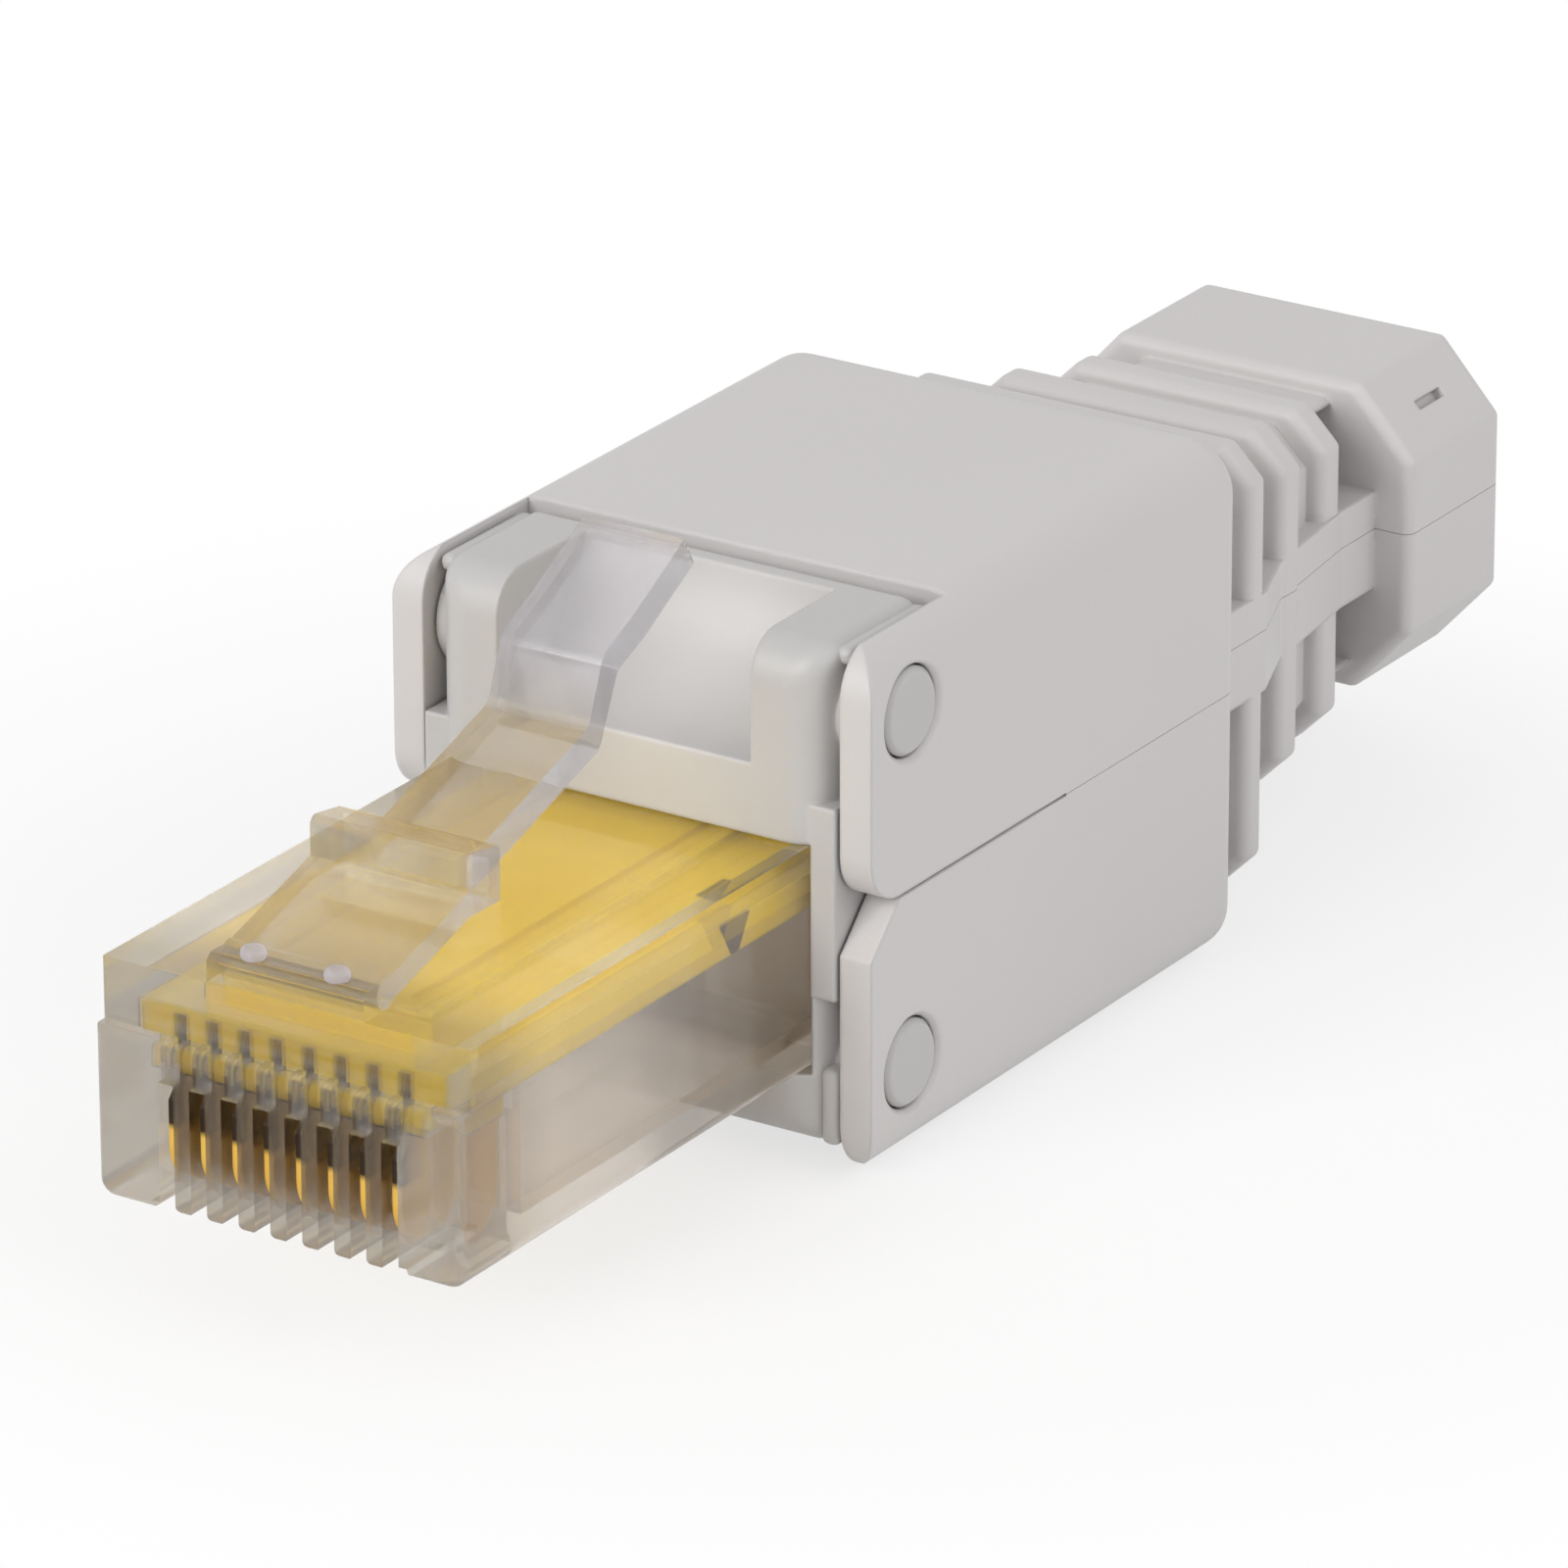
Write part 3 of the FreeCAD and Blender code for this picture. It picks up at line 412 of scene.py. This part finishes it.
def pick_faces(piece, direction):
    """Opens the piece in edit mode with only the faces selected that look in one direction."""
    bpy.ops.object.mode_set(mode="EDIT")
    bpy.ops.mesh.select_mode(type="FACE")
    bpy.ops.mesh.select_all(action="DESELECT")
    bpy.ops.object.mode_set(mode="OBJECT")
    for face in piece.data.polygons:
        face.select = face.normal.dot(Vector(direction)) > ALMOST_ALONG
    bpy.ops.object.mode_set(mode="EDIT")


for side, name in ((1, "snap_notch_right"), (-1, "snap_notch_left")):
    outer = side * (carrier_high[0] + NOTCH_PROUD)
    inner = side * (carrier_high[0] - NOTCH_DEPTH)
    front = shell_low[1] + NOTCH_SETBACK
    notch = start_block(name, (min(outer, inner), front, notch_top - NOTCH_HEIGHT),
                        (max(outer, inner), front + NOTCH_LENGTH, notch_top))
    pick_faces(notch, (0, 0, -1))
    bpy.ops.transform.resize(value=(1, NOTCH_TAPER, 1))
    bpy.ops.object.mode_set(mode="OBJECT")
    round_edges(notch, NOTCH_ROUND)
    notch.data.materials.append(notch_painted_shadow)
    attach(notch, "base")

# On top of the latch root are two small bright spots. They are made as the rounded stubs that two
# cut-off gates leave: torn clear plastic gives the eye a bright milky white.
GATE_RADIUS = 0.36 * MM
GATE_RISE = 0.4 * MM
GATE_SPREAD = 1.33 * MM
GATE_SETBACK = 1.0 * MM
GATE_LIFT = 0.12 * MM
GATE_ROUND = 0.17 * MM
TORN_SIZE = 0.3 * MM


def frosted_tint(tree, place):
    """Milky white, a little uneven."""
    torn = add_node(tree, "ShaderNodeTexNoise", {"Vector": place, "Scale": 1 / TORN_SIZE})
    return add_node(tree, "ShaderNodeMix", {0: torn.outputs[0], 6: linear("#D8D2DC"),
                                            7: linear("#EAE6EE")}, data_type="RGBA").outputs[2]


frosted = clear_finish("frosted_gate_stub", frosted_tint, 0.4, 0.6, 0.35)
for side, name in ((1, "gate_stub_right"), (-1, "gate_stub_left")):
    bpy.ops.object.select_all(action="DESELECT")
    bpy.ops.mesh.primitive_cylinder_add(
        vertices=20, radius=GATE_RADIUS, depth=GATE_RISE,
        location=(side * GATE_SPREAD, shell_low[1] + GATE_SETBACK, shell_high[2] + GATE_LIFT))
    bpy.ops.object.transform_apply(location=True, rotation=True, scale=True)
    stub = bpy.context.object
    stub.name = name
    round_edges(stub, GATE_ROUND, 4)
    stub.data.materials.append(frosted)
    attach(stub, "base")

# ---- latch
# The sprung lever, moulded in the same clear plastic: a thin plate, the locking shoulder and the
# stepped finger lever. It bends about its root on the nose when the lever is pressed.
# It gives the eye a milky lilac up the lever. Low over the insert it is painted amber, as painted
# light from the yellow insert, and at its sides, where one looks along its width, a painted grey shade.
LILAC_FROM = 2.2 * MM
LILAC_TO = 4.5 * MM
TOP_LEAN = 0.5
SIDE_LEAN = 0.9


def latch_tint(tree, place):
    """Amber low down, painted light; lilac higher up; grey at the sides, painted shade."""
    up = add_node(tree, "ShaderNodeSeparateXYZ", {0: place}).outputs["Z"]
    high = add_node(tree, "ShaderNodeMapRange", {"Value": up, "From Min": shell_high[2] + LILAC_FROM,
                                                 "From Max": shell_high[2] + LILAC_TO})
    # The amber low down is painted light from the yellow insert under the plate.
    top = add_node(tree, "ShaderNodeMix", {0: high.outputs[0], 6: linear("#B2A275"),
                                           7: linear("#E4DFE8")}, data_type="RGBA")
    facing = add_node(tree, "ShaderNodeNewGeometry").outputs["Normal"]
    sideways = add_node(tree, "ShaderNodeSeparateXYZ", {0: facing}).outputs["X"]
    size = add_node(tree, "ShaderNodeMath", {0: sideways}, operation="ABSOLUTE")
    side = add_node(tree, "ShaderNodeMapRange", {"Value": size.outputs[0], "From Min": TOP_LEAN,
                                                 "From Max": SIDE_LEAN})
    # Faces that look sideways are mixed to grey: painted shade.
    return add_node(tree, "ShaderNodeMix", {0: side.outputs[0], 6: top.outputs[2], 7: linear("#94919E")},
                    data_type="RGBA").outputs[2]


finish_node("latch", clear_finish("clear_latch", latch_tint, 0.13, 0.95, 0.5))

# ---- inner frame
# The white ABS moulding that grips the plug, holds the board between its rails and carries the
# four trunnion pins of the covers.
# The same plastic as the covers, from a smoother mould: it gives the eye a slightly glossier white.
# Its colour is drawn darker than that of the covers' same ABS: painted shade.
pale = moulded_finish("frame_abs_painted_shade", "#BDBBBA", "#B7B5B3", "#D0CECD", 0.42, 0.22, 0.25)
finish_node("frame", pale)

# At its four corners the frame has a flange beside the cover's cheek: low on top, tall underneath.
FLANGE_REACH = 6.66 * MM
FLANGE_INNER = 6.1 * MM
FLANGE_LENGTH = 4.0 * MM
UPPER_SETBACK = 1.0 * MM
UPPER_HEIGHT = 0.65 * MM
LOWER_SETBACK = 0.3 * MM
LOWER_HEIGHT = 2.4 * MM
FLANGE_INSET = 0.15 * MM
FLANGE_ROUND = 0.2 * MM
frame_low, frame_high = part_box("frame")
for level, setback, bottom, top in (
        ("upper", UPPER_SETBACK, frame_high[2] - UPPER_HEIGHT, frame_high[2] - FLANGE_INSET),
        ("lower", LOWER_SETBACK, frame_low[2] + FLANGE_INSET, frame_low[2] + LOWER_HEIGHT)):
    front = frame_low[1] + setback
    flange = start_block(f"frame_flange_{level}_right", (FLANGE_INNER, front, bottom),
                         (FLANGE_REACH, front + FLANGE_LENGTH, top))
    round_edges(flange, FLANGE_ROUND)
    flange.data.materials.append(pale)
    mirrored = moved_copy(flange, f"frame_flange_{level}_left", (-FLANGE_REACH - FLANGE_INNER, 0, 0))
    for piece in (flange, mirrored):
        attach(piece, "base")

# ---- covers
# Two ABS shells, each with half of the ribbed tail. They snap over the frame's pins and swing shut.
# ABS from a spark-eroded mould gives the eye a soft grey white, matt, with a painted highlight on edges.
SEAM_LENGTH = 10.0 * MM
SEAM_FADE = 2.0 * MM
SEAM_NEAR = 0.3 * MM
SEAM_FAR = 0.4 * MM
top_low, top_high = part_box("top_cover")
seam_z = (board_low[2] + board_high[2]) / 2


def tight_seam(tree, place):
    """One along the rear of the parting line: the joint is too tight there for a painted highlight."""
    split = add_node(tree, "ShaderNodeSeparateXYZ", {0: place}).outputs
    off = add_node(tree, "ShaderNodeMath", {0: split["Z"], 1: seam_z}, operation="SUBTRACT").outputs[0]
    off = add_node(tree, "ShaderNodeMath", {0: off}, operation="ABSOLUTE").outputs[0]
    near = add_node(tree, "ShaderNodeMapRange", {"Value": off, "From Min": SEAM_FAR,
                                                 "From Max": SEAM_NEAR}).outputs[0]
    start = top_low[1] + SEAM_LENGTH
    behind = add_node(tree, "ShaderNodeMapRange", {"Value": split["Y"], "From Min": start - SEAM_FADE,
                                                   "From Max": start}).outputs[0]
    return add_node(tree, "ShaderNodeMath", {0: near, 1: behind}, operation="MULTIPLY").outputs[0]


grey = moulded_finish("grey_white_abs", "#CBC8C7", "#C7C4C3", "#DAD7D6", 0.46, 0.22, 0.3, tight_seam)
finish_node("top_cover", grey)
finish_node("bottom_cover", grey)

# Inside each cover, behind the wire guide, are the two shallow discs that ejector pins usually leave
# on such a moulding.
EJECTOR_RADIUS = 0.9 * MM
EJECTOR_SPREAD = 3.4 * MM
EJECTOR_RISE = 0.08 * MM
EJECTOR_RIM = 0.15 * MM
EJECTOR_SETBACK = 2.4 * MM
COVER_WALL = 1.0 * MM
bottom_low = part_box("bottom_cover")[0]
ejector_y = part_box("lower_wire_guide")[1][1] + EJECTOR_SETBACK
for cover, roof, inward in (("upper", top_high[2] - COVER_WALL, -1),
                            ("lower", bottom_low[2] + COVER_WALL, 1)):
    for side, name in ((1, "right"), (-1, "left")):
        bpy.ops.object.select_all(action="DESELECT")
        bpy.ops.mesh.primitive_cylinder_add(vertices=40, radius=EJECTOR_RADIUS, depth=EJECTOR_RISE,
                                            location=(side * EJECTOR_SPREAD, ejector_y, roof))
        bpy.ops.object.transform_apply(location=True, rotation=True, scale=True)
        disc = bpy.context.object
        disc.name = f"ejector_mark_{cover}_{name}"
        pick_faces(disc, (0, 0, inward))
        bpy.ops.mesh.inset(thickness=EJECTOR_RIM)
        bpy.ops.transform.translate(value=(0, 0, -inward * EJECTOR_RISE / 3))
        bpy.ops.object.mode_set(mode="OBJECT")
        disc.data.materials.append(grey)
        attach(disc, f"{cover}_cover")

# ---- studio
# A white sweep and two large soft boxes: plain light, with a faint shadow under the plug. The sweep
# is clear from underneath, so that the plug's underside can be looked at.
FLOOR_DROP = 0.1 * MM
PAPER_RADIUS = 20 * MM
WHITE_RADIUS = 45 * MM
bpy.ops.object.select_all(action="DESELECT")
bpy.ops.mesh.primitive_plane_add(size=1.2, location=(0, 0, -FLOOR_DROP))
floor = bpy.context.object
floor.name = "floor"


def seen_white(tree):
    """One where the eye sees a surface directly, or in a gloss or through something clear."""
    path = add_node(tree, "ShaderNodeLightPath").outputs
    mirrored = add_node(tree, "ShaderNodeMath", {0: path["Is Camera Ray"], 1: path["Is Glossy Ray"]},
                        operation="MAXIMUM")
    return add_node(tree, "ShaderNodeMath", {0: mirrored.outputs[0], 1: path["Is Transmission Ray"]},
                    operation="MAXIMUM").outputs[0]


material, tree = new_material("white_sweep")
place = add_node(tree, "ShaderNodeTexCoord").outputs["Object"]
away = add_node(tree, "ShaderNodeVectorMath", {0: place}, operation="LENGTH")
fade = add_node(tree, "ShaderNodeMapRange", {"Value": away.outputs["Value"], "From Min": PAPER_RADIUS,
                                            "From Max": WHITE_RADIUS, "To Min": 0.7},
                interpolation_type="SMOOTHSTEP")
paper = add_node(tree, "ShaderNodeBsdfDiffuse", {"Color": linear("#F6F6F6")})
white = add_node(tree, "ShaderNodeEmission", {"Color": (1, 1, 1, 1), "Strength": 1.0})
share = add_node(tree, "ShaderNodeMath", {0: fade.outputs[0], 1: seen_white(tree)}, operation="MULTIPLY")
mixed = add_node(tree, "ShaderNodeMixShader", {0: share.outputs[0], 1: paper.outputs[0],
                                               2: white.outputs[0]})
under = add_node(tree, "ShaderNodeNewGeometry").outputs["Backfacing"]
clear_sheet = add_node(tree, "ShaderNodeBsdfTransparent")
one_sided = add_node(tree, "ShaderNodeMixShader", {0: under, 1: mixed.outputs[0],
                                                   2: clear_sheet.outputs[0]})
add_node(tree, "ShaderNodeOutputMaterial", {"Surface": one_sided.outputs[0]})
floor.data.materials.append(material)

# The room lights the plug from all round at just over half strength. Seen directly, in a gloss or
# through something clear, it is pure white.
world = bpy.data.worlds.new("studio")
bpy.context.scene.world = world
world.use_nodes = True
tree = world.node_tree
tree.nodes.clear()
level = add_node(tree, "ShaderNodeMapRange", {"Value": seen_white(tree), "To Min": 0.55, "To Max": 1.0})
sky = add_node(tree, "ShaderNodeBackground", {"Color": (1, 1, 1, 1), "Strength": level.outputs[0]})
add_node(tree, "ShaderNodeOutputWorld", {"Surface": sky.outputs[0]})


LAMP_AIM = Vector((0, 0, 10 * MM))


def soft_lamp(name, place, size, watts):
    """A square soft box that faces the middle of the object."""
    lamp = bpy.data.lights.new(name, "AREA")
    lamp.shape = "SQUARE"
    lamp.size = size
    lamp.energy = watts
    stand = bpy.data.objects.new(name, lamp)
    stand.location = place
    stand.rotation_euler = (LAMP_AIM - Vector(place)).to_track_quat("-Z", "Y").to_euler()
    bpy.context.scene.collection.objects.link(stand)


soft_lamp("key", (-0.12, -0.45, 0.28), 0.3, 1.6)
soft_lamp("fill", (0.45, 0.05, 0.3), 0.4, 0.8)

# The camera stands in front, to the right and above, and is level.
lens = bpy.data.cameras.new("camera")
camera = bpy.data.objects.new("camera", lens)
bpy.context.scene.collection.objects.link(camera)
lens.sensor_width = 36
lens.lens = 272.85
lens.clip_start = 0.01
right = Vector((0.84045, 0.54188, -0.00256))
up = Vector((-0.20504, 0.32238, 0.92415))
back = Vector((0.50160, -0.77617, 0.38206))
turn = Matrix((right, up, back)).transposed().to_4x4()
camera.matrix_world = Matrix.Translation((0.16509, -0.25802, 0.13314)) @ turn
bpy.context.scene.camera = camera
bpy.context.scene.view_settings.view_transform = "Standard"
